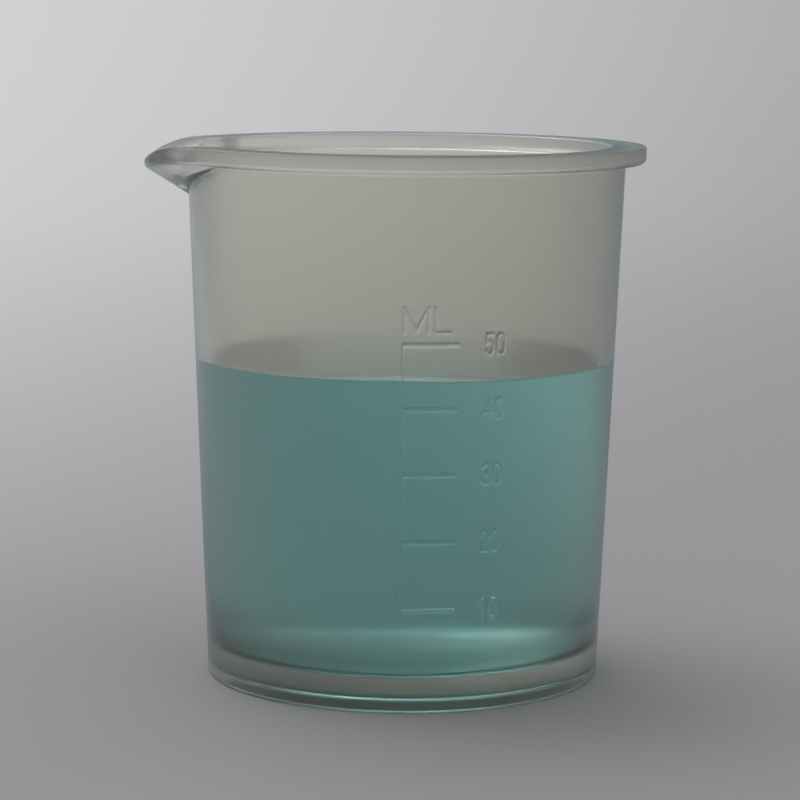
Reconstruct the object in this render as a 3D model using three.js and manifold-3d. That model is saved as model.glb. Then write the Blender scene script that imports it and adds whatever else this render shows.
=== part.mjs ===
// Low-form laboratory beaker in translucent polypropylene, 50 ml, with the liquid that stands in it.
// Millimetres, +Z up. The spout points to -X and the graduated scale faces -Y.
// The origin is on the table, under the middle of the beaker's box. The spout reaches out to -X,
// so the beaker's own axis stands a little to +X of it.

import * as THREE from "three";
import { mergeVertices } from "three/addons/utils/BufferGeometryUtils.js";
import Module from "manifold-3d";

// Beaker body
const height = 59; // table to the top of the rim
const baseDiameter = 43.6; // outside of the wall, carried down to the table
const mouthDiameter = 48.36; // outside of the wall, carried up to the top of the rim
const wallThickness = 1.6;
const floorThickness = 2;
const floorFillet = 3; // inside corner between wall and floor

// Foot: a ring that lifts the floor off the table
const footRecess = 1.4; // height of the hollow under the floor
const footRingWidth = 1.5;
const footRecessFillet = 0.4;
const footInnerEdge = 0.25;
const footOuterEdge = 0.5;

// Rim: a flat flange round the mouth
const rimOverhang = 2.17; // beyond the wall
const rimThickness = 1.85;
const rimUnderFillet = 0.3;
const rimLowerEdge = 0.6;
const rimUpperEdge = 0.2;
const rimMouthEdge = 0.3;

// Spout: a round lip drawn out of the wall below the rim, with the rim dipping to its nose
const spoutOverhang = 2.5; // nose beyond the rim
const spoutDepth = 5.85; // rim top down to where the keel leaves the wall
const spoutDip = 2.25; // rim top down to the middle of the nose
const spoutWall = 1.7; // keel to channel, and the thickness of the nose
const lipHalfAngle = THREE.MathUtils.degToRad(33); // seen from above, under the rim
const dipHalfAngle = THREE.MathUtils.degToRad(27); // the rim dips on a narrower part of the lip
const shelfEnd = 0.8; // share of the keel at which the rim's underside runs out

// Scale: raised lines, moulded with the wall
const nominalVolume = 50; // ml, at the top line
const scaleStep = 10; // ml between lines
const tickLength = 6; // along the wall
const tickWidth = 0.42;
const stemWidth = 0.18; // the upright line that the ticks start from
const scaleRelief = 0.22;
const scaleRoot = 0.3; // how deep a raised line is rooted in the wall
const scaleDirection = THREE.MathUtils.degToRad(-90.5); // where the upright line stands

// Liquid
const liquidBelowRim = 23.4; // rim top down to the liquid
const liquidClearance = 0.1; // between the liquid's solid and the plastic

// Facets
const plainStep = THREE.MathUtils.degToRad(5);
const spoutStep = THREE.MathUtils.degToRad(2.25);
const edgeFacets = 3; // round an edge or a small fillet
const filletFacets = 6;
const spoutFacets = 7; // up the spout's wall, inside and outside
const tickFacets = 4;

const cubicMillimetresPerMl = 1000;
const spoutDirection = Math.PI;
const quarterTurn = Math.PI / 2;

// The wall leans outwards evenly, and its inside follows its outside.
const wallLean = (mouthDiameter - baseDiameter) / 2 / height;
const outerRadius = (z) => baseDiameter / 2 + wallLean * z;
const innerRadius = (z) => outerRadius(z) - wallThickness;

const rimRadius = mouthDiameter / 2 + rimOverhang;
const rimUnderside = height - rimThickness;
const floorTop = footRecess + floorThickness;
const footInnerRadius = baseDiameter / 2 - footRingWidth;

// How far the rounded corner at the floor stands in from the bore, at a height above the floor.
function filletInset(rise) {
  if (rise >= floorFillet) return 0;
  return floorFillet - Math.sqrt(floorFillet ** 2 - (floorFillet - rise) ** 2);
}

// What the bore holds up to a height, in ml, by slices.
function volumeTo(z) {
  const slices = 400;
  const slice = (z - floorTop) / slices;
  let volume = 0;
  for (let i = 0; i < slices; i++) {
    const rise = (i + 0.5) * slice;
    const radius = innerRadius(floorTop + rise) - filletInset(rise);
    volume += Math.PI * radius ** 2 * slice;
  }
  return volume / cubicMillimetresPerMl;
}

// The height to which a volume fills the bore, by halving the range.
function levelOf(volume) {
  let low = floorTop;
  let high = height;
  for (let i = 0; i < 40; i++) {
    const middle = (low + high) / 2;
    if (volumeTo(middle) < volume) low = middle;
    else high = middle;
  }
  return (low + high) / 2;
}

// Points round an edge or a fillet, as [radius, height]. Its two ends are given in quarter turns.
function corner([r, z], radius, from, to, facets = edgeFacets) {
  return Array.from({ length: facets + 1 }, (_, i) => {
    const angle = (from + ((to - from) * i) / facets) * quarterTurn;
    return [r + radius * Math.cos(angle), z + radius * Math.sin(angle)];
  });
}

// The point at a share of the way between two others.
function between(from, to, share) {
  return [from[0] + (to[0] - from[0]) * share, from[1] + (to[1] - from[1]) * share];
}

// Even steps from one point to another, both ends included.
function steps(from, to, count) {
  return Array.from({ length: count + 1 }, (_, i) => between(from, to, i / count));
}

// The spout along its centre line: the keel climbs to a round nose, and the channel comes back
// down beside it, as thick as the spout's wall, to the inside of the beaker.
const noseRadius = spoutWall / 2;
const keelFoot = [outerRadius(height - spoutDepth), height - spoutDepth];
const noseCentre = [rimRadius + spoutOverhang - noseRadius, height - spoutDip];
const keelRise = Math.atan2(noseCentre[1] - keelFoot[1], noseCentre[0] - keelFoot[0]) / quarterTurn;
const nose = corner(noseCentre, noseRadius, keelRise - 1, keelRise + 1, 2 * edgeFacets + 1);
const keelEnd = nose[0];
const channelEnd = nose[nose.length - 1];
const keelSlope = (keelEnd[1] - keelFoot[1]) / (keelEnd[0] - keelFoot[0]);
const channelFootHeight =
  (channelEnd[1] + keelSlope * (innerRadius(0) - channelEnd[0])) / (1 - keelSlope * wallLean);
const channelFoot = [innerRadius(channelFootHeight), channelFootHeight];

// The rim's section away from the spout, from the height of the keel's foot on the outside, over
// the flange, to the height of the channel's foot on the inside. Each point goes with the one that
// it becomes on the spout's centre line, and with how wide the lip is there: 0 at the foot, 1 under the rim.
function rimRows() {
  const wallTop = [outerRadius(rimUnderside - rimUnderFillet), rimUnderside - rimUnderFillet];
  const shelf = between(keelFoot, keelEnd, shelfEnd);
  const underFillet = corner([wallTop[0] + rimUnderFillet, wallTop[1]], rimUnderFillet, 2, 1);
  const flange = [
    ...corner([rimRadius - rimLowerEdge, rimUnderside + rimLowerEdge], rimLowerEdge, -1, 0),
    ...corner([rimRadius - rimUpperEdge, height - rimUpperEdge], rimUpperEdge, 0, 1),
  ];
  const mouthEdge = corner(
    [innerRadius(height) + rimMouthEdge, height - rimMouthEdge], rimMouthEdge, 1, 2,
  );
  const bore = steps(mouthEdge[edgeFacets], channelFoot, spoutFacets).slice(1);

  const plain = [
    ...steps(keelFoot, wallTop, spoutFacets),
    ...underFillet.slice(1),
    ...flange,
    ...mouthEdge,
    ...bore,
  ];
  const centre = [
    ...steps(keelFoot, shelf, spoutFacets),
    ...steps(shelf, keelEnd, edgeFacets + 1).slice(1, -1),
    ...nose,
    ...steps(channelEnd, channelFoot, mouthEdge.length + bore.length).slice(1),
  ];
  return plain.map((point, i) => {
    const foot = i < plain.length - bore.length ? keelFoot : channelFoot;
    const climb = (point[1] - foot[1]) / (rimUnderside - foot[1]);
    return { plain: point, centre: centre[i], width: THREE.MathUtils.clamp(climb, 0, 1) };
  });
}

const rim = rimRows();

// The share of the lip's reach that is left at an angle from the spout's centre line: 1 at the nose,
// 0 on the round wall. It stays nearly full beside the nose and runs out softly into the wall.
function reachShare(angle, width) {
  if (width === 0) return 0;
  return (1 - Math.min(1, angle / (lipHalfAngle * width)) ** 3) ** 1.5;
}

// The share of the dip that is left there. It falls off sooner than the reach, in one smooth bow.
function dipShare(angle, width) {
  if (width === 0) return 0;
  return (1 - Math.min(1, angle / (dipHalfAngle * width)) ** 2) ** 2.5;
}

// The beaker's section at an angle round the axis: from the middle of the hollow under the floor,
// round the foot, up the wall, over the rim, down the bore, to the middle of the floor.
function beakerSection(angle) {
  const aside = Math.abs(Math.atan2(Math.sin(angle - spoutDirection), Math.cos(angle - spoutDirection)));
  const rimPoints = rim.map(({ plain: [r, z], centre: [reach, dip], width }) => {
    const out = reachShare(aside, width);
    const down = dipShare(aside, width);
    return [r + (reach - r) * out, z + (dip - z) * down];
  });
  return [
    [0, footRecess],
    ...corner([footInnerRadius - footRecessFillet, footRecess - footRecessFillet], footRecessFillet, 1, 0),
    ...corner([footInnerRadius + footInnerEdge, footInnerEdge], footInnerEdge, 2, 3),
    ...corner([outerRadius(footOuterEdge) - footOuterEdge, footOuterEdge], footOuterEdge, -1, 0),
    ...rimPoints,
    ...floorCorner(0),
    [0, floorTop],
  ];
}

// The inside corner at the floor, from the bore down, or the liquid's corner at a clearance from it.
function floorCorner(clearance) {
  return Array.from({ length: filletFacets + 1 }, (_, i) => {
    const turn = (i / filletFacets) * quarterTurn;
    const rise = floorFillet * (1 - Math.sin(turn));
    const radius = innerRadius(floorTop + rise) - filletInset(rise);
    return [radius - clearance * Math.cos(turn), floorTop + rise + clearance * Math.sin(turn)];
  });
}

// The liquid's section, from the middle of the floor up to the middle of its surface.
function liquidSection() {
  const level = height - liquidBelowRim;
  return [
    [0, floorTop + liquidClearance],
    ...floorCorner(liquidClearance).reverse(),
    [innerRadius(level) - liquidClearance, level],
    [0, level],
  ];
}

// The angles at which sections stand: close together across the spout, and wider apart elsewhere.
function sectionAngles() {
  const acrossSpout = 2 * Math.ceil(lipHalfAngle / spoutStep);
  const half = (acrossSpout / 2) * spoutStep;
  const round = 2 * Math.PI - 2 * half;
  const elsewhere = Math.ceil(round / plainStep);
  return [
    ...Array.from({ length: acrossSpout }, (_, i) => spoutDirection - half + i * spoutStep),
    ...Array.from({ length: elsewhere }, (_, i) => spoutDirection + half + (i * round) / elsewhere),
  ];
}

// A closed body through a full turn of sections, each of which starts and ends on the axis.
function bodyOfSections(angles, sectionAt) {
  const rings = angles.map((angle) =>
    sectionAt(angle).map(([r, z]) => [r * Math.cos(angle), r * Math.sin(angle), z]),
  );
  const last = rings[0].length - 2;
  const corners = [];
  rings.forEach((ring, j) => {
    const next = rings[(j + 1) % rings.length];
    const mirrored = Math.sin(angles[j] - spoutDirection) < 0; // the facets lean alike on both sides
    for (let i = 0; i <= last; i++) {
      const [a, b, c, d] = [ring[i], next[i], next[i + 1], ring[i + 1]];
      const [first, second] = mirrored ? [[a, b, d], [b, c, d]] : [[a, b, c], [a, c, d]];
      if (i > 0) corners.push(...first.flat());
      if (i < last) corners.push(...second.flat());
    }
  });
  return closedGeometry(corners);
}

// A raised line on the wall, between two angles and two heights, as a curved bar rooted in the wall.
function raisedLine(fromAngle, toAngle, low, high, facets) {
  const stations = Array.from({ length: facets + 1 }, (_, i) => {
    const angle = fromAngle + ((toAngle - fromAngle) * i) / facets;
    const at = (z, out) => {
      const r = outerRadius(z) + out;
      return [r * Math.cos(angle), r * Math.sin(angle), z];
    };
    return [at(low, -scaleRoot), at(low, scaleRelief), at(high, scaleRelief), at(high, -scaleRoot)];
  });
  const corners = [];
  const quad = (a, b, c, d) => corners.push(...a, ...b, ...c, ...a, ...c, ...d);
  for (let j = 0; j < facets; j++) {
    for (let i = 0; i < 4; i++) {
      const k = (i + 1) % 4;
      quad(stations[j][i], stations[j + 1][i], stations[j + 1][k], stations[j][k]);
    }
  }
  quad(...stations[0]);
  quad(...stations[facets].toReversed());
  return closedGeometry(corners);
}

function closedGeometry(corners) {
  const geometry = new THREE.BufferGeometry();
  geometry.setAttribute("position", new THREE.Float32BufferAttribute(corners, 3));
  return mergeVertices(geometry, 1e-4);
}

// The scale: an upright line and a tick for each volume, on the height that the bore's volume gives.
// Lines that would meet the spout or the rim are left off.
function scaleGeometries() {
  const highest = keelFoot[1] - tickWidth;
  const levels = [];
  for (let volume = scaleStep; volume <= nominalVolume; volume += scaleStep) {
    const level = levelOf(volume);
    if (level < highest) levels.push(level);
  }
  const ticks = levels.map((level) => {
    const length = tickLength / outerRadius(level);
    return raisedLine(
      scaleDirection, scaleDirection + length, level - tickWidth / 2, level + tickWidth / 2, tickFacets,
    );
  });
  const halfStem = stemWidth / 2 / outerRadius(levels[0]);
  const stem = raisedLine(
    scaleDirection - halfStem, scaleDirection + halfStem,
    levels[0] - tickWidth / 2, levels[levels.length - 1] + tickWidth / 2, 1,
  );
  return [stem, ...ticks];
}

const wasm = await Module();
wasm.setup();

function toManifold(geometry) {
  return new wasm.Manifold(
    new wasm.Mesh({
      numProp: 3,
      vertProperties: new Float32Array(geometry.attributes.position.array),
      triVerts: new Uint32Array(geometry.index.array),
    }),
  );
}

function toGeometry(manifold) {
  const mesh = manifold.getMesh();
  const geometry = new THREE.BufferGeometry();
  geometry.setAttribute("position", new THREE.BufferAttribute(mesh.vertProperties, 3));
  geometry.setIndex(new THREE.BufferAttribute(mesh.triVerts, 1));
  geometry.computeVertexNormals();
  return geometry;
}

const polypropylene = new THREE.MeshStandardMaterial({
  color: 0xb9b6a8,
  roughness: 0.3,
  metalness: 0,
  transparent: true,
  opacity: 0.55,
});
const tintedWater = new THREE.MeshStandardMaterial({
  color: 0x5c8f8c,
  roughness: 0.05,
  metalness: 0,
  transparent: true,
  opacity: 0.8,
});

// One moulding: floor, foot, wall, rim, spout and scale.
function makeBeakerBody() {
  const shell = toManifold(bodyOfSections(sectionAngles(), beakerSection));
  const body = scaleGeometries().reduce((solid, line) => solid.add(toManifold(line)), shell);
  const mesh = new THREE.Mesh(toGeometry(body), polypropylene);
  mesh.name = "beaker_body";
  return mesh;
}

function makeLiquid() {
  const geometry = bodyOfSections(sectionAngles(), liquidSection);
  geometry.computeVertexNormals();
  const mesh = new THREE.Mesh(geometry, tintedWater);
  mesh.name = "liquid";
  return mesh;
}

const beaker = new THREE.Group();
beaker.position.x = spoutOverhang / 2;
beaker.add(makeBeakerBody(), makeLiquid());

export default beaker;
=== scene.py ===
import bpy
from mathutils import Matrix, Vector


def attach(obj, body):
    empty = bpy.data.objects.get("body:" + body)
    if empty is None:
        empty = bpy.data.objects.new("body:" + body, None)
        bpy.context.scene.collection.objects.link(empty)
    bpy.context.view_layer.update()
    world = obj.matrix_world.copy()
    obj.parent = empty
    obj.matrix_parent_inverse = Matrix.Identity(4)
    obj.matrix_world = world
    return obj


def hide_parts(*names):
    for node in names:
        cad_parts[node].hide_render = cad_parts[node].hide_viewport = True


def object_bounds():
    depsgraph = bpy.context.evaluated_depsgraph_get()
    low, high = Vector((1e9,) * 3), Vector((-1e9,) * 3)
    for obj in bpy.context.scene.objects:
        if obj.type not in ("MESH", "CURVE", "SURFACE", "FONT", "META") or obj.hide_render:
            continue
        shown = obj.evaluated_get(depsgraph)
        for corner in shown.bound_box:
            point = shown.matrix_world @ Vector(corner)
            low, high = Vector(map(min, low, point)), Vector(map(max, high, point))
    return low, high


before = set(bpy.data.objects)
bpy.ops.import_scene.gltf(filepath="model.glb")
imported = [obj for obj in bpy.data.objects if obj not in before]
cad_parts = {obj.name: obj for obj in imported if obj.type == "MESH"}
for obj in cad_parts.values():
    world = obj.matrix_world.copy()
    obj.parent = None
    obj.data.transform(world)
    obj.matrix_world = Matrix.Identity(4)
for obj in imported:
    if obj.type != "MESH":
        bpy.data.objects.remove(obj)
cadBox = [list(corner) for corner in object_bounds()]

from math import atan2, cos, pi, radians, sin

import bpy
import numpy as np
from mathutils import Matrix, Vector

# Lengths are in millimetres up to the moment a mesh is made, and angles in radians.
metre = 0.001
quarterTurn = pi / 2
lowest = np.array(cadBox[0]) / metre
highest = np.array(cadBox[1]) / metre


# Colours are written as sRGB hex and turned to linear here.
def toLinear(hexColour):
    values = np.array([int(hexColour[i:i + 2], 16) for i in (1, 3, 5)]) / 255
    return (*np.where(values <= 0.04045, values / 12.92, ((values + 0.055) / 1.055) ** 2.4), 1.0)


# Adds a node, sets its inputs and properties by name, and links inputs to the sockets given for them.
def addNode(tree, kind, inputs=None, **properties):
    node = tree.nodes.new(kind)
    for name, value in properties.items():
        setattr(node, name, value)
    for name, value in (inputs or {}).items():
        if isinstance(value, bpy.types.NodeSocket):
            tree.links.new(value, node.inputs[name])
        else:
            node.inputs[name].default_value = value
    return node


# An empty node material, and its tree to fill.
def newMaterial(name):
    material = bpy.data.materials.new(name)
    material.use_nodes = True
    material.node_tree.nodes.clear()
    return material, material.node_tree


# Makes a smooth mesh piece from points in millimetres and lists of corner numbers.
def makePiece(name, points, faces, material):
    mesh = bpy.data.meshes.new(name)
    mesh.from_pydata((points * metre).tolist(), [], faces)
    mesh.shade_smooth()
    mesh.validate()
    piece = bpy.data.objects.new(name, mesh)
    bpy.context.scene.collection.objects.link(piece)
    mesh.materials.append(material)
    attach(piece, "root")
    print(name, len(points), "points", len(faces), "faces")
    return piece


# Points on an arc: centre + radius * (cos, sin), its ends given in quarter turns.
def arc(centre, radius, fromTurn, toTurn, count):
    angle = np.linspace(fromTurn, toTurn, count + 1) * quarterTurn
    return np.stack([centre[0] + radius * np.cos(angle), centre[1] + radius * np.sin(angle)], axis=1)


# Points on a straight line, both ends included, closer together towards the ends (half a cosine wave).
def straight(start, end, count):
    share = (1 - np.cos(np.linspace(0, pi, count + 1))) / 2
    return np.array(start) + (np.array(end) - np.array(start)) * share[:, None]


# Points on a straight line at even shares of the way, both ends included.
def even(start, end, count):
    return np.array(start) + (np.array(end) - np.array(start)) * np.linspace(0, 1, count + 1)[:, None]


# The beaker, with the solid's sizes. The rim, the mouth and the nose follow from the frame's box. The
# columns are those of the skin between the scale and the spout, on the spout, and back to the scale.
beaker = {
    "baseDiameter": 43.6,
    "wall": 1.6,
    "floor": 2.0,
    "floorFillet": 3.0,
    "footRecess": 1.4,
    "footRing": 1.5,
    "recessFillet": 0.4,
    "footInnerEdge": 0.25,
    "footOuterEdge": 0.5,
    "rimOverhang": 2.17,
    "rimThickness": 1.85,
    "underFillet": 0.3,
    "lowerEdge": 0.6,
    "upperEdge": 0.2,
    "mouthEdge": 0.3,
    "spoutDepth": 5.85,
    "spoutDip": 2.25,
    "spoutWall": 1.7,
    "lipHalfAngle": radians(33),
    "dipHalfAngle": radians(27),
    "shelfEnd": 0.8,
    "spoutColumnsHalf": radians(34),
    "columnsToSpout": 104,
    "columnsOnSpout": 72,
    "columnsToScale": 28,
    "keelRows": 14,
    "boreRows": 14,
    "topShare": 1 / 11,
    "mouthShare": 4 / 11,
    "roundedShare": 0.75,
    "poleRadius": 0.6,
    "filletPoints": 10,
}
height = highest[2]
rimRadius = (highest[1] - lowest[1]) / 2
spoutOverhang = (highest[0] - lowest[0]) - 2 * rimRadius
axisX = highest[0] - rimRadius
mouthRadius = rimRadius - beaker["rimOverhang"]
wallLean = (mouthRadius - beaker["baseDiameter"] / 2) / height
floorTop = beaker["footRecess"] + beaker["floor"]


def outerRadius(z):
    return beaker["baseDiameter"] / 2 + wallLean * z


def innerRadius(z):
    return outerRadius(z) - beaker["wall"]


# How far the rounded corner at the floor stands in from the bore.
def filletInset(rise):
    fillet = beaker["floorFillet"]
    return fillet - np.sqrt(fillet**2 - np.clip(fillet - rise, 0, fillet) ** 2)


# The floor's rounded corner as (radius, height), from its upper end down to the floor.
def floorCorner():
    rise = beaker["floorFillet"] * (1 - np.sin(np.linspace(0, quarterTurn, beaker["filletPoints"])))
    return np.stack([innerRadius(floorTop + rise) - filletInset(rise), floorTop + rise], axis=1)


# The height to which a volume in ml fills the bore: slices added up from the floor, then looked up.
def levelOf(volume):
    slices, cubicMillimetresPerMl = 4000, 1000
    z = np.linspace(floorTop, height, slices)
    radius = innerRadius(z) - filletInset(z - floorTop)
    filled = np.cumsum(pi * radius**2) * (z[1] - z[0]) / cubicMillimetresPerMl
    return float(np.interp(volume, filled, z))


# The raised scale on the front wall. u runs along the wall to the right of the upright line. margin is
# the bare wall kept round the strokes, and divide is how many fine cells share a coarse one's side.
scale = {
    "direction": radians(-90.5),
    "volumes": [10, 20, 30, 40, 50],
    "relief": 0.075,
    "edge": 0.12,
    "stemWidth": 0.18,
    "tickLength": 5.8,
    "tickWidth": 0.42,
    "numeralStart": 8.6,
    "numeralHeight": 2.12,
    "numeralWidth": 0.82,
    "numeralGap": 0.42,
    "numeralStroke": 0.27,
    "unitStart": 0.14,
    "unitBase": 1.3,
    "unitHeight": 2.6,
    "unitWidths": {"M": 2.4, "L": 1.5},
    "unitGap": 0.75,
    "unitStroke": 0.3,
    "bowPoints": 13,
    "margin": 0.6,
    "columnWidth": 0.79,
    "columnsLeft": 1,
    "columnsRight": 14,
    "rows": 38,
    "divide": 9,
}
levels = [levelOf(volume) for volume in scale["volumes"]]
scaleRadius = outerRadius((levels[0] + levels[-1]) / 2)


# A round stroke of a glyph in its unit box: an ellipse's arc, angles in degrees.
def bow(x, y, rx, ry, start, end):
    angle = np.radians(np.linspace(start, end, scale["bowPoints"]))
    return np.stack([x + rx * np.cos(angle), y + ry * np.sin(angle)], axis=1)


# Strokes of each glyph as lines of points in a box one wide and one high.
glyphs = {
    "0": [np.vstack([bow(0.5, 0.72, 0.5, 0.28, 0, 180), bow(0.5, 0.28, 0.5, 0.28, 180, 360), [[1, 0.72]]])],
    "1": [np.array([[0.15, 0.78], [0.6, 1], [0.6, 0]])],
    "2": [np.vstack([bow(0.5, 0.72, 0.48, 0.28, 170, -25), [[0, 0], [1, 0]]])],
    "3": [np.vstack([bow(0.47, 0.76, 0.45, 0.24, 160, -90), bow(0.47, 0.26, 0.5, 0.26, 84, -160)])],
    "4": [np.array([[0.75, 0], [0.75, 1], [0, 0.3], [1, 0.3]])],
    "5": [np.vstack([[[0.95, 1], [0.15, 1], [0.08, 0.55]], bow(0.47, 0.32, 0.5, 0.32, 130, -155)])],
    "M": [np.array([[0, 0], [0, 1], [0.5, 0.05], [1, 1], [1, 0]])],
    "L": [np.array([[0, 1], [0, 0], [1, 0]])],
}


# Distance from each point (u, z) to a line of points: the least over its segments, each found by
# dropping the point onto the segment and holding the foot between the segment's ends.
def distanceTo(line, u, z):
    nearest = np.full(u.shape, np.inf)
    for (x0, y0), (x1, y1) in zip(line[:-1], line[1:]):
        along = np.array([x1 - x0, y1 - y0])
        foot = np.clip(((u - x0) * along[0] + (z - y0) * along[1]) / (along @ along), 0, 1)
        nearest = np.minimum(nearest, np.hypot(u - x0 - foot * along[0], z - y0 - foot * along[1]))
    return nearest


# A ridge with a rounded flank: full height inside the stroke, 0 outside, a smooth step between.
def ridge(distance, stroke):
    step = np.clip((stroke / 2 - distance) / scale["edge"] + 0.5, 0, 1)
    return scale["relief"] * step * step * (3 - 2 * step)


# The scale's height above the wall at (u, z): the highest of the ridges of all its strokes.
def scaleRelief(u, z):
    s = scale
    lines = [(np.array([[0, levels[0]], [0, levels[-1]]]), s["stemWidth"])]

    def write(text, left, base, width, gap, tall, stroke):
        for letter in text:
            wide = width[letter] if isinstance(width, dict) else width
            corner = np.array([left, base])
            lines.extend((corner + glyph * [wide, tall], stroke) for glyph in glyphs[letter])
            left += wide + gap

    for volume, level in zip(s["volumes"], levels):
        half = s["tickWidth"] / 2
        lines.append((np.array([[half, level], [s["tickLength"] - half, level]]), s["tickWidth"]))
        base = level - s["numeralHeight"] / 2
        write(str(volume), s["numeralStart"], base, s["numeralWidth"],
              s["numeralGap"], s["numeralHeight"], s["numeralStroke"])
    write("ML", s["unitStart"], levels[-1] + s["unitBase"], s["unitWidths"],
          s["unitGap"], s["unitHeight"], s["unitStroke"])
    return np.max([ridge(distanceTo(line, u, z), stroke) for line, stroke in lines], axis=0)


# The beaker's rows away from the spout, and beside them the same rows on the spout's centre line.
# Both are (radius, height). width is how wide the spout is at a row: 0 at its foot, 1 under the rim.
def beakerRows(scaleRows):
    b = beaker
    ringInner = b["baseDiameter"] / 2 - b["footRing"]
    bottomEdge = outerRadius(b["footOuterEdge"]) - b["footOuterEdge"]
    recessCentre = (ringInner - b["recessFillet"], b["footRecess"] - b["recessFillet"])
    recess = arc(recessCentre, b["recessFillet"], 1, 0, 5)
    innerEdge = arc((ringInner + b["footInnerEdge"], b["footInnerEdge"]), b["footInnerEdge"], 2, 3, 4)
    outerEdge = arc((bottomEdge, b["footOuterEdge"]), b["footOuterEdge"], -1, 0, 6)
    underside = height - b["rimThickness"]
    keelFoot = np.array([outerRadius(height - b["spoutDepth"]), height - b["spoutDepth"]])
    below = [
        straight((b["poleRadius"], b["footRecess"]), recess[0], 4)[:-1],
        recess,
        innerEdge,
        straight(innerEdge[-1], outerEdge[0], 2)[1:-1],
        outerEdge,
        straight(outerEdge[-1], (outerRadius(scaleRows[0]), scaleRows[0]), 5)[1:-1],
        np.stack([outerRadius(scaleRows), scaleRows], axis=1),
        straight((outerRadius(scaleRows[-1]), scaleRows[-1]), keelFoot, 5)[1:-1],
    ]

    # The spout's centre line: the keel, the round nose, and the channel back down beside the keel.
    noseRadius = b["spoutWall"] / 2
    noseCentre = np.array([rimRadius + spoutOverhang - noseRadius, height - b["spoutDip"]])
    keelRise = atan2(noseCentre[1] - keelFoot[1], noseCentre[0] - keelFoot[0]) / quarterTurn
    keelEnd, channelEnd = arc(noseCentre, noseRadius, keelRise - 1, keelRise + 1, 1)
    shelf = keelFoot + (keelEnd - keelFoot) * b["shelfEnd"]
    slope = (keelEnd[1] - keelFoot[1]) / (keelEnd[0] - keelFoot[0])
    footZ = (channelEnd[1] + slope * (innerRadius(0) - channelEnd[0])) / (1 - slope * wallLean)
    channelFoot = np.array([innerRadius(footZ), footZ])

    wallTop = np.array([outerRadius(underside - b["underFillet"]), underside - b["underFillet"]])
    underFillet = arc((wallTop[0] + b["underFillet"], wallTop[1]), b["underFillet"], 2, 1, 5)
    lower = arc((rimRadius - b["lowerEdge"], underside + b["lowerEdge"]), b["lowerEdge"], -1, 0, 7)
    upper = arc((rimRadius - b["upperEdge"], height - b["upperEdge"]), b["upperEdge"], 0, 1, 5)
    mouth = arc((innerRadius(height) + b["mouthEdge"], height - b["mouthEdge"]), b["mouthEdge"], 1, 2, 6)
    shelfRows = straight(underFillet[-1], lower[0], 4)[1:-1]
    faceRows = straight(lower[-1], upper[0], 2)[1:-1]
    topRows = straight(upper[-1], mouth[0], 6)[1:-1]
    bore = even(mouth[-1], channelFoot, b["boreRows"])[1:]
    flange = len(lower) + len(faceRows) + len(upper)

    # Shares of the shelf at which the rounding under the rim ends, as in the solid.
    shelfShares = np.concatenate([
        np.linspace(0, b["roundedShare"], len(underFillet))[1:],
        np.linspace(b["roundedShare"], 1, len(shelfRows) + 2)[1:-1],
    ])

    # The channel's shares at which the flat top ends and the mouth's edge ends, as in the solid.
    channelShares = np.concatenate([
        np.linspace(0, b["topShare"], len(topRows) + 2)[1:-1],
        np.linspace(b["topShare"], b["mouthShare"], len(mouth)),
        np.linspace(b["mouthShare"], 1, len(bore) + 1)[1:],
    ])
    plain = np.vstack([
        even(keelFoot, wallTop, b["keelRows"]), underFillet[1:], shelfRows, lower, faceRows, upper,
        topRows, mouth, bore,
    ])
    centre = np.vstack([
        even(keelFoot, shelf, b["keelRows"]),
        shelf + (keelEnd - shelf) * shelfShares[:, None],
        arc(noseCentre, noseRadius, keelRise - 1, keelRise + 1, flange - 1),
        channelEnd + (channelFoot - channelEnd) * channelShares[:, None],
    ])
    foot = np.where(np.arange(len(plain)) < len(plain) - len(bore), keelFoot[1], channelFoot[1])
    width = np.clip((plain[:, 1] - foot) / (underside - foot), 0, 1)

    fillet = floorCorner()
    above = [
        straight(channelFoot, fillet[0], 16)[1:-1],
        fillet,
        straight(fillet[-1], (b["poleRadius"], floorTop), 5)[1:],
    ]
    below, above = np.vstack(below), np.vstack(above)
    rows = np.vstack([below, plain, above])
    centres = np.vstack([below, centre, above])
    widths = np.concatenate([np.zeros(len(below)), width, np.zeros(len(above))])
    return rows, centres, widths


# The beaker's skin at each row and angle. Away from the spout it is the row turned about the axis.
# Towards the spout's centre line a row moves to its place there, by two shares of t, the angle from
# that line over the lip's half angle: outwards by (1 - t cubed) to the power 1.5, which gives a full
# round lip, and down by (1 - t squared) to the power 2.5, which keeps the dip near the nose.
def beakerSkin(rows, centres, widths, angles):
    radius, z = rows[:, :1], rows[:, 1:]
    reach, dip = centres[:, :1], centres[:, 1:]
    aside = np.abs((angles % (2 * pi)) - pi)[None, :]
    width = np.maximum(widths[:, None], 1e-6)  # keeps the division below from meeting a zero
    out = (1 - np.clip(aside / (beaker["lipHalfAngle"] * width), 0, 1) ** 3) ** 1.5
    down = (1 - np.clip(aside / (beaker["dipHalfAngle"] * width), 0, 1) ** 2) ** 2.5
    moves = widths[:, None] > 0
    return radius + (reach - radius) * out * moves, z + (dip - z) * down * moves


# The angles of the skin's columns, once round from the scale's left border. The scale's own columns
# are evenly spaced, so that one stands exactly under the upright line.
def skinAngles():
    s = scale
    step = s["columnWidth"] / scaleRadius
    first = s["direction"] - s["columnsLeft"] * step
    last = s["direction"] + s["columnsRight"] * step
    spoutStart, spoutEnd = pi - beaker["spoutColumnsHalf"], pi + beaker["spoutColumnsHalf"]
    ranges = [
        (first, last, s["columnsLeft"] + s["columnsRight"]),
        (last, spoutStart, beaker["columnsToSpout"]),
        (spoutStart, spoutEnd, beaker["columnsOnSpout"]),
        (spoutEnd, first + 2 * pi, beaker["columnsToScale"]),
    ]
    return np.concatenate([np.linspace(start, end, count + 1)[:-1] for start, end, count in ranges])


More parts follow.
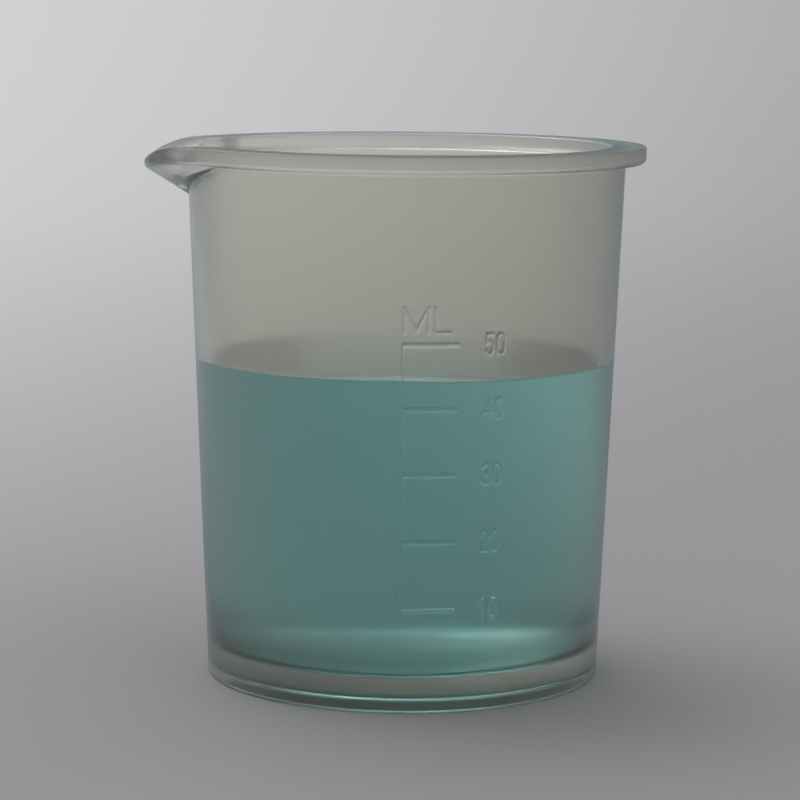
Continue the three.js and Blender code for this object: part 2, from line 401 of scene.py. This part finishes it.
# Corner numbers of a grid's cells, in the order that faces outwards: along this row, back along the next.
def cellsOf(grid):
    return np.stack([grid[:-1, :-1], grid[:-1, 1:], grid[1:, 1:], grid[1:, :-1]], axis=-1).reshape(-1, 4)


# Places in space for a radius, an angle and a height.
def turned(radius, angle, z):
    return np.stack([axisX + radius * np.cos(angle), radius * np.sin(angle), z + 0 * angle], axis=-1)


# How rough the mould's steel leaves the skin: nearly polished in the bore, a little rougher outside, and
# matt on the rim, on the raised strokes and at the foot. rimFade is the height over which the rim's
# finish comes in, the foot's comes in from footClear down to footMatt, and a point counts as on a
# stroke from strokeStart of the relief.
finish = {
    "bore": 0.05,
    "outside": 0.17,
    "rim": 0.3,
    "strokes": 0.3,
    "foot": 0.22,
    "footMatt": 2.5,
    "footClear": 9.0,
    "rimFade": 0.5,
    "strokeStart": 0.1,
}


# The roughness at each point. The distance from the axis, less what the wall leans out by up to the
# point's height, tells outside from bore: the share of outside is 0 up to three quarters of the wall's
# thickness inside its outer face and 1 from one quarter on. Each matt zone then takes over by its share.
def mouldRoughness(points, raised):
    x, y, z = points.T
    upright = np.hypot(x - axisX, y) - wallLean * z
    outside = np.clip((upright - beaker["baseDiameter"] / 2) / (0.5 * beaker["wall"]) + 1.5, 0, 1)
    rim = np.clip((z - height + beaker["rimThickness"]) / finish["rimFade"] + 1, 0, 1)
    foot = np.clip((finish["footClear"] - z) / (finish["footClear"] - finish["footMatt"]), 0, 1)
    roughness = finish["bore"] + (finish["outside"] - finish["bore"]) * outside
    for zone, share in (("rim", rim), ("foot", foot), ("strokes", raised)):
        roughness += (finish[zone] - roughness) * share
    return roughness


# The beaker as one closed skin. Where the scale stands, each coarse cell is divided into fine ones that
# carry the relief, and the cells along the border take the fine corners into their shared edge.
def buildBeaker(material):
    s = scale
    bottom = levels[0] - s["numeralHeight"] / 2 - s["margin"]
    top = levels[-1] + s["unitBase"] + s["unitHeight"] + s["margin"]
    scaleRows = np.linspace(bottom, top, s["rows"] + 1)
    rows, centres, widths = beakerRows(scaleRows)
    angles = skinAngles()
    radius, z = beakerSkin(rows, centres, widths, angles)
    coarse = turned(radius, angles[None, :], z)
    rowCount, columnCount = coarse.shape[:2]
    index = np.arange(rowCount * columnCount).reshape(rowCount, columnCount)
    ring = np.hstack([index, index[:, :1]])

    # The scale's lowest row is the one at its height on the wall's outer face, not in the bore.
    inBore = rows[:, 0] < outerRadius(bottom) - beaker["wall"] / 2
    low = int(np.argmin(np.where(inBore, np.inf, np.abs(rows[:, 1] - bottom))))
    high = low + s["rows"]
    right = s["columnsLeft"] + s["columnsRight"]
    fine = s["divide"]
    fineZ = np.linspace(bottom, top, s["rows"] * fine + 1)[:, None]
    fineAngle = np.linspace(angles[0], angles[right], right * fine + 1)[None, :]
    relief = scaleRelief((fineAngle - s["direction"]) * scaleRadius + 0 * fineZ, fineZ + 0 * fineAngle)
    finePoints = turned(outerRadius(fineZ) + relief, fineAngle, fineZ)
    patch = rowCount * columnCount + np.arange(relief.size).reshape(relief.shape)
    patch[0, ::fine], patch[-1, ::fine] = ring[low, :right + 1], ring[high, :right + 1]
    patch[::fine, 0], patch[::fine, -1] = ring[low:high + 1, 0], ring[low:high + 1, right]

    # Each border side: the coarse corners of its cells, and the run of fine corners on their shared edge.
    cellGrid = np.ones((rowCount - 1, columnCount), bool)
    cellGrid[low - 1:high + 1, :right] = False
    cellGrid[low:high, [right, -1]] = False
    cells = cellsOf(ring).reshape(rowCount - 1, columnCount, 4)[cellGrid]
    runs = np.arange(fine + 1)[None, :]
    across = np.arange(right)[:, None]
    upwards = np.arange(s["rows"])[:, None]
    side = ring[low:high + 1]
    borders = [
        np.hstack([ring[low - 1, across], ring[low - 1, across + 1], patch[0][(across + 1) * fine - runs]]),
        np.hstack([patch[-1][across * fine + runs], ring[high + 1, across + 1], ring[high + 1, across]]),
        np.hstack([side[1:, -2:-1], side[:-1, -2:-1], patch[:, 0][upwards * fine + runs]]),
        np.hstack([side[:-1, right + 1:right + 2], side[1:, right + 1:right + 2],
                   patch[:, -1][(upwards + 1) * fine - runs]]),
    ]
    poles = rowCount * columnCount + relief.size + np.array([0, 1])
    poleFans = np.vstack([
        np.stack([poles[0] + 0 * index[0], ring[0, 1:], ring[0, :-1]], axis=1),
        np.stack([poles[1] + 0 * index[0], ring[-1, :-1], ring[-1, 1:]], axis=1),
    ])
    points = np.vstack([
        coarse.reshape(-1, 3), finePoints.reshape(-1, 3),
        [[axisX, 0, beaker["footRecess"]], [axisX, 0, floorTop]],
    ])
    faces = [cells, cellsOf(patch), *borders, poleFans]
    raised = np.zeros(len(points))
    raised[rowCount * columnCount:-2] = np.clip(relief.ravel() / (finish["strokeStart"] * s["relief"]), 0, 1)
    return makeClosedPiece("beaker", points, faces, material,
                           {"mould_roughness": mouldRoughness(points, raised)})


# Drops the points that no face uses, renumbers the corners and makes the piece. Each of the values
# given for the points becomes an attribute of that name.
def makeClosedPiece(name, points, faceArrays, material, values=None):
    corners = np.concatenate([array.ravel() for array in faceArrays])
    used, renumbered = np.unique(corners, return_inverse=True)
    faces, start = [], 0
    for array in faceArrays:
        faces.extend(renumbered.ravel()[start:start + array.size].reshape(array.shape).tolist())
        start += array.size
    piece = makePiece(name, points[used], faces, material)
    for title, share in (values or {}).items():
        attribute = piece.data.attributes.new(title, "FLOAT", "POINT")
        attribute.data.foreach_set("value", share[used].astype(np.float32))
    return piece


# The liquid, poured up to level. It reaches a little into the plastic, because water wets the wall:
# with a gap the edges would turn to mirrors. Its edge creeps up the wall, a little unevenly: each wave
# has its count round the wall, its start and its size. The skin is drawn up from creepFoot.
liquid = {
    "level": 35.4,
    "intoWall": 0.12,
    "creep": 0.08,
    "creepWidth": 0.7,
    "creepFoot": 30.0,
    "unevenness": 0.06,
    "waves": [(3, 1.1, 1.0), (7, 0.4, 0.7), (16, 2.3, 0.5)],
    "columns": 160,
    "surfaceRings": 26,
    "firstRing": 0.05,
    "lastRing": 0.7,
}


# How far the surface stands above its level: the creep fades inwards as a falling exponential, and
# its height varies round the wall as a sum of a few waves.
def creepHeight(gap, angle):
    waves = sum(size * np.sin(count * angle + start) for count, start, size in liquid["waves"])
    return (liquid["creep"] + liquid["unevenness"] * waves) * np.exp(-gap / liquid["creepWidth"])


# A closed skin turned about the axis: floor, floor corner, wall, then the surface inwards to the axis.
def buildLiquid(material):
    into, level = liquid["intoWall"], liquid["level"]
    corner = floorCorner()[::-1] + [into, -into]
    wallTop = np.array([innerRadius(level) + into, level])
    inwards = np.geomspace(liquid["firstRing"], wallTop[0] - liquid["lastRing"], liquid["surfaceRings"])
    surfaceRadii = wallTop[0] - into / 2 - np.concatenate([[0], inwards])
    side = np.vstack([
        straight((beaker["poleRadius"], floorTop - into), corner[0], 6)[:-1],
        corner,
        straight(corner[-1], wallTop, 24)[1:],
    ])
    angle = np.linspace(0, 2 * pi, liquid["columns"] + 1)[:-1][None, :]
    upwards = np.clip((side[:, 1:] - liquid["creepFoot"]) / (level - liquid["creepFoot"]), 0, 1)
    rimRise = creepHeight(0, angle) * upwards**2
    below = turned(side[:, :1] + 0 * angle, angle, side[:, 1:] + rimRise)
    gap = np.maximum(wallTop[0] - into - surfaceRadii, 0)[:, None]
    above = turned(surfaceRadii[:, None] + 0 * angle, angle, level + creepHeight(gap, angle))
    grid = np.vstack([below, above])
    rowCount, columnCount = grid.shape[:2]
    index = np.arange(rowCount * columnCount).reshape(rowCount, columnCount)
    ring = np.hstack([index, index[:, :1]])
    poles = rowCount * columnCount + np.array([0, 1])
    points = np.vstack([
        grid.reshape(-1, 3), [[axisX, 0, floorTop - into], [axisX, 0, level]],
    ])
    fans = np.vstack([
        np.stack([poles[0] + 0 * index[0], ring[0, 1:], ring[0, :-1]], axis=1),
        np.stack([poles[1] + 0 * index[0], ring[-1, :-1], ring[-1, 1:]], axis=1),
    ])
    return makeClosedPiece("tinted_liquid", points, [cellsOf(ring), fans], material)


# Natural polypropylene, injection moulded against a polished steel mould: milky and warm where light
# comes through it, cool where it doesn't, with a soft sheen. The haze is a layer with no reflection of
# its own, which takes more light the more slantingly it is crossed, so the edges look darker. It comes
# in from hazeFrom to hazeFull above the table. The ripple is the slight unevenness of moulded walls.
plastic = {
    "colour": "#f7f4ec",
    "transmission": 0.97,
    "haze": "#fcfdfd",
    "hazeFrom": 5.0,
    "hazeFull": 11.0,
    "ior": 1.49,
    "veil": 0.06,
    "veilRoughness": 0.5,
    "veilColour": "#b8d8ff",
    "depthColour": "#b4c0a9",
    "depthDensity": 15.0,
    "scatterDepth": 4.0,
    "scatterColour": (1.0, 0.9, 0.75),
    "rippleSize": 4.0,
    "rippleHeight": 0.0015,
    "rippleDetail": 2.0,
}


def makePlastic():
    material, tree = newMaterial("natural_polypropylene_moulded")
    place = addNode(tree, "ShaderNodeTexCoord").outputs["Object"]
    ripple = addNode(tree, "ShaderNodeTexNoise", {
        "Vector": place, "Scale": 1 / (plastic["rippleSize"] * metre), "Detail": plastic["rippleDetail"],
    })
    roughness = addNode(tree, "ShaderNodeAttribute", attribute_name="mould_roughness")
    aboveTable = addNode(tree, "ShaderNodeSeparateXYZ", {"Vector": place})
    hazeShare = addNode(tree, "ShaderNodeMapRange", {
        "Value": aboveTable.outputs["Z"],
        "From Min": plastic["hazeFrom"] * metre, "From Max": plastic["hazeFull"] * metre,
    })
    bump = addNode(tree, "ShaderNodeBump", {
        "Height": ripple.outputs["Fac"], "Distance": plastic["rippleHeight"] * metre, "Strength": 1.0,
    })
    surface = addNode(tree, "ShaderNodeBsdfPrincipled", {
        "Base Color": toLinear(plastic["colour"]),
        "Transmission Weight": plastic["transmission"],
        "Roughness": roughness.outputs["Fac"],
        "IOR": plastic["ior"],
        "Subsurface Weight": 1.0,
        "Subsurface Radius": plastic["scatterColour"],
        "Subsurface Scale": plastic["scatterDepth"] * metre,
        "Coat Weight": hazeShare.outputs["Result"],
        "Coat Roughness": finish["outside"],
        "Coat IOR": 1.0,
        "Coat Tint": toLinear(plastic["haze"]),
        "Sheen Weight": plastic["veil"],
        "Sheen Roughness": plastic["veilRoughness"],
        "Sheen Tint": toLinear(plastic["veilColour"]),
        "Normal": bump.outputs["Normal"],
    })
    depth = addNode(tree, "ShaderNodeVolumeAbsorption", {
        "Color": toLinear(plastic["depthColour"]), "Density": plastic["depthDensity"],
    })
    addNode(tree, "ShaderNodeOutputMaterial", {
        "Surface": surface.outputs["BSDF"], "Volume": depth.outputs["Volume"],
    })
    return material


# Water with a blue-green dye: clear and still, and its colour grows with the depth that light crosses.
water = {
    "colour": "#ffffff",
    "ior": 1.333,
    "roughness": 0.0,
    "dye": "#4fe7ee",
    "dyeDensity": 33.0,
}


def makeWater():
    material, tree = newMaterial("dyed_water")
    surface = addNode(tree, "ShaderNodeBsdfPrincipled", {
        "Base Color": toLinear(water["colour"]),
        "Transmission Weight": 1.0,
        "Roughness": water["roughness"],
        "IOR": water["ior"],
    })
    depth = addNode(tree, "ShaderNodeVolumeAbsorption", {
        "Color": toLinear(water["dye"]), "Density": water["dyeDensity"],
    })
    addNode(tree, "ShaderNodeOutputMaterial", {
        "Surface": surface.outputs["BSDF"], "Volume": depth.outputs["Volume"],
    })
    return material


body = buildBeaker(makePlastic())
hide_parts("beaker_body")
filling = buildLiquid(makeWater())
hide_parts("liquid")

# The studio: a pale floor that curves up into a wall all round, in metres, of matt card, which gives a
# seamless backdrop without a shine. Its colour holds painted light and shade: the card is painted lighter
# towards the light corner, on the window lamp's side, over gradeRange, and painted darker again at both
# sides, to sideShare of that over sideRange, which counts shares of a place's distance.
studio = {
    "lightSide": "#d4d4d5",
    "darkSide": "#979798",
    "lightCorner": (-1.04, 0.55, 0.0),
    "gradeStart": 0.48,
    "gradeRange": (0.01, 0.61),
    "sideRange": (0.14, 0.4),
    "sideShare": 0.2,
    "cardRoughness": 0.9,
    "cardGloss": 0.2,
    "middleRadius": 0.002,
    "flatRadius": 0.6,
    "wallRadius": 2.0,
    "curveTop": 0.9,
    "wallTop": 1.2,
    "curvePoints": 25,
    "columns": 96,
    "worldColour": "#fafaff",
    "worldStrength": 0.77,
}


# A bowl turned about the frame's upright axis: flat floor, a quarter of an ellipse, then an upright wall.
def buildStudio():
    flat, wide = studio["flatRadius"], studio["wallRadius"]
    turn = np.linspace(0, quarterTurn, studio["curvePoints"])
    curve = np.stack([flat + (wide - flat) * np.sin(turn), studio["curveTop"] * (1 - np.cos(turn))], axis=1)
    profile = np.vstack([[[studio["middleRadius"], 0]], curve, [[wide, studio["wallTop"]]]])
    angle = np.linspace(0, 2 * pi, studio["columns"] + 1)[:-1][None, :]
    radius, z = profile[:, :1], profile[:, 1:]
    grid = np.stack([radius * np.cos(angle), radius * np.sin(angle), z + 0 * angle], axis=-1)
    index = np.arange(grid.shape[0] * grid.shape[1]).reshape(grid.shape[:2])
    ring = np.hstack([index, index[:, :1]])
    mesh = bpy.data.meshes.new("studio")
    mesh.from_pydata(grid.reshape(-1, 3).tolist(), [], cellsOf(ring)[:, ::-1].tolist() + [index[0].tolist()])
    mesh.shade_smooth()
    piece = bpy.data.objects.new("studio", mesh)
    bpy.context.scene.collection.objects.link(piece)
    mesh.materials.append(makeCard())


def makeCard():
    material, tree = newMaterial("matt_card")
    # How far a place lies towards the light corner, where the card carries painted light: its share of the
    # distance, softened near the middle.
    place = addNode(tree, "ShaderNodeTexCoord").outputs["Object"]
    along = addNode(tree, "ShaderNodeVectorMath", {0: place, 1: studio["lightCorner"]},
                    operation="DOT_PRODUCT")
    away = addNode(tree, "ShaderNodeVectorMath", {0: place}, operation="LENGTH")
    softened = addNode(tree, "ShaderNodeMath", {0: away.outputs["Value"], 1: studio["gradeStart"]},
                       operation="ADD")
    towards = addNode(tree, "ShaderNodeMath", {0: along.outputs["Value"], 1: softened.outputs["Value"]},
                      operation="DIVIDE")
    share = addNode(tree, "ShaderNodeMapRange", {
        "Value": towards.outputs["Value"],
        "From Min": studio["gradeRange"][0], "From Max": studio["gradeRange"][1],
    }, interpolation_type="SMOOTHSTEP")
    # Both sides of the card are painted darker, as painted shade, so that the beaker's edges have something
    # dark to mirror.
    sideways = addNode(tree, "ShaderNodeSeparateXYZ", {"Vector": place})
    aside = addNode(tree, "ShaderNodeMath", {0: sideways.outputs["X"]}, operation="ABSOLUTE")
    asideShare = addNode(tree, "ShaderNodeMath", {0: aside.outputs["Value"], 1: softened.outputs["Value"]},
                         operation="DIVIDE")
    fall = addNode(tree, "ShaderNodeMapRange", {
        "Value": asideShare.outputs["Value"],
        "From Min": studio["sideRange"][0], "From Max": studio["sideRange"][1],
        "To Min": 1.0, "To Max": studio["sideShare"],
    }, interpolation_type="SMOOTHSTEP")
    lit = addNode(tree, "ShaderNodeMath", {0: share.outputs["Result"], 1: fall.outputs["Result"]},
                  operation="MULTIPLY")
    # The card's colour runs from the painted shade to the painted light by that share.
    colour = addNode(tree, "ShaderNodeMix", {
        "Factor": lit.outputs["Value"], "A": toLinear(studio["darkSide"]),
        "B": toLinear(studio["lightSide"]),
    }, data_type="RGBA")
    card = addNode(tree, "ShaderNodeBsdfPrincipled", {
        "Base Color": colour.outputs["Result"], "Roughness": studio["cardRoughness"],
        "Specular IOR Level": studio["cardGloss"],
    })
    addNode(tree, "ShaderNodeOutputMaterial", {"Surface": card.outputs["BSDF"]})
    return material


# Lamps: place and what each points at in metres, size in metres, power in watts.
lamps = {
    "window": {
        "place": (-1.0, 1.1, 2.1), "aim": (0, 0.2, 0), "size": 2.4, "power": 33.0, "colour": "#fffefc",
    },
    "fill": {
        "place": (0.9, -0.9, 1.4), "aim": (0, 0, 0.03), "size": 1.2, "power": 2.0, "colour": "#fffaf2",
    },
}


def buildLamps():
    for name, lamp in lamps.items():
        light = bpy.data.lights.new(name, "AREA")
        light.size = lamp["size"]
        light.energy = lamp["power"]
        light.color = toLinear(lamp["colour"])[:3]
        holder = bpy.data.objects.new(name, light)
        bpy.context.scene.collection.objects.link(holder)
        holder.location = lamp["place"]
        towards = Vector(lamp["aim"]) - Vector(lamp["place"])
        holder.rotation_euler = towards.to_track_quat("-Z", "Y").to_euler()
    world = bpy.data.worlds.new("studio")
    world.use_nodes = True
    background = world.node_tree.nodes["Background"]
    background.inputs["Color"].default_value = toLinear(studio["worldColour"])
    background.inputs["Strength"].default_value = studio["worldStrength"]
    bpy.context.scene.world = world


# The photograph's view: where the camera stands and the nearest and farthest it sees, in metres, how it
# is turned, and its lens in mm.
view = {
    "place": (0.00125, -0.3265, 0.07635),
    "down": 0.1397,
    "left": 0.00156,
    "roll": 0.00908,
    "lens": 133.06,
    "nearest": 0.01,
    "farthest": 10.0,
}


def buildCamera():
    v = view
    ahead = Vector((-sin(v["left"]) * cos(v["down"]), cos(v["left"]) * cos(v["down"]), -sin(v["down"])))
    level = ahead.cross(Vector((0, 0, 1))).normalized()
    right = cos(v["roll"]) * level + sin(v["roll"]) * level.cross(ahead)
    camera = bpy.data.objects.new("camera", bpy.data.cameras.new("camera"))
    camera.data.lens = v["lens"]
    camera.data.clip_start = v["nearest"]
    camera.data.clip_end = v["farthest"]
    bpy.context.scene.collection.objects.link(camera)
    turn = Matrix((right, right.cross(ahead), -ahead)).transposed().to_4x4()
    camera.matrix_world = Matrix.Translation(v["place"]) @ turn
    bpy.context.scene.camera = camera


buildStudio()
buildLamps()
buildCamera()
bpy.context.scene.view_settings.view_transform = "Standard"
print("stage, lamps and camera are in place")
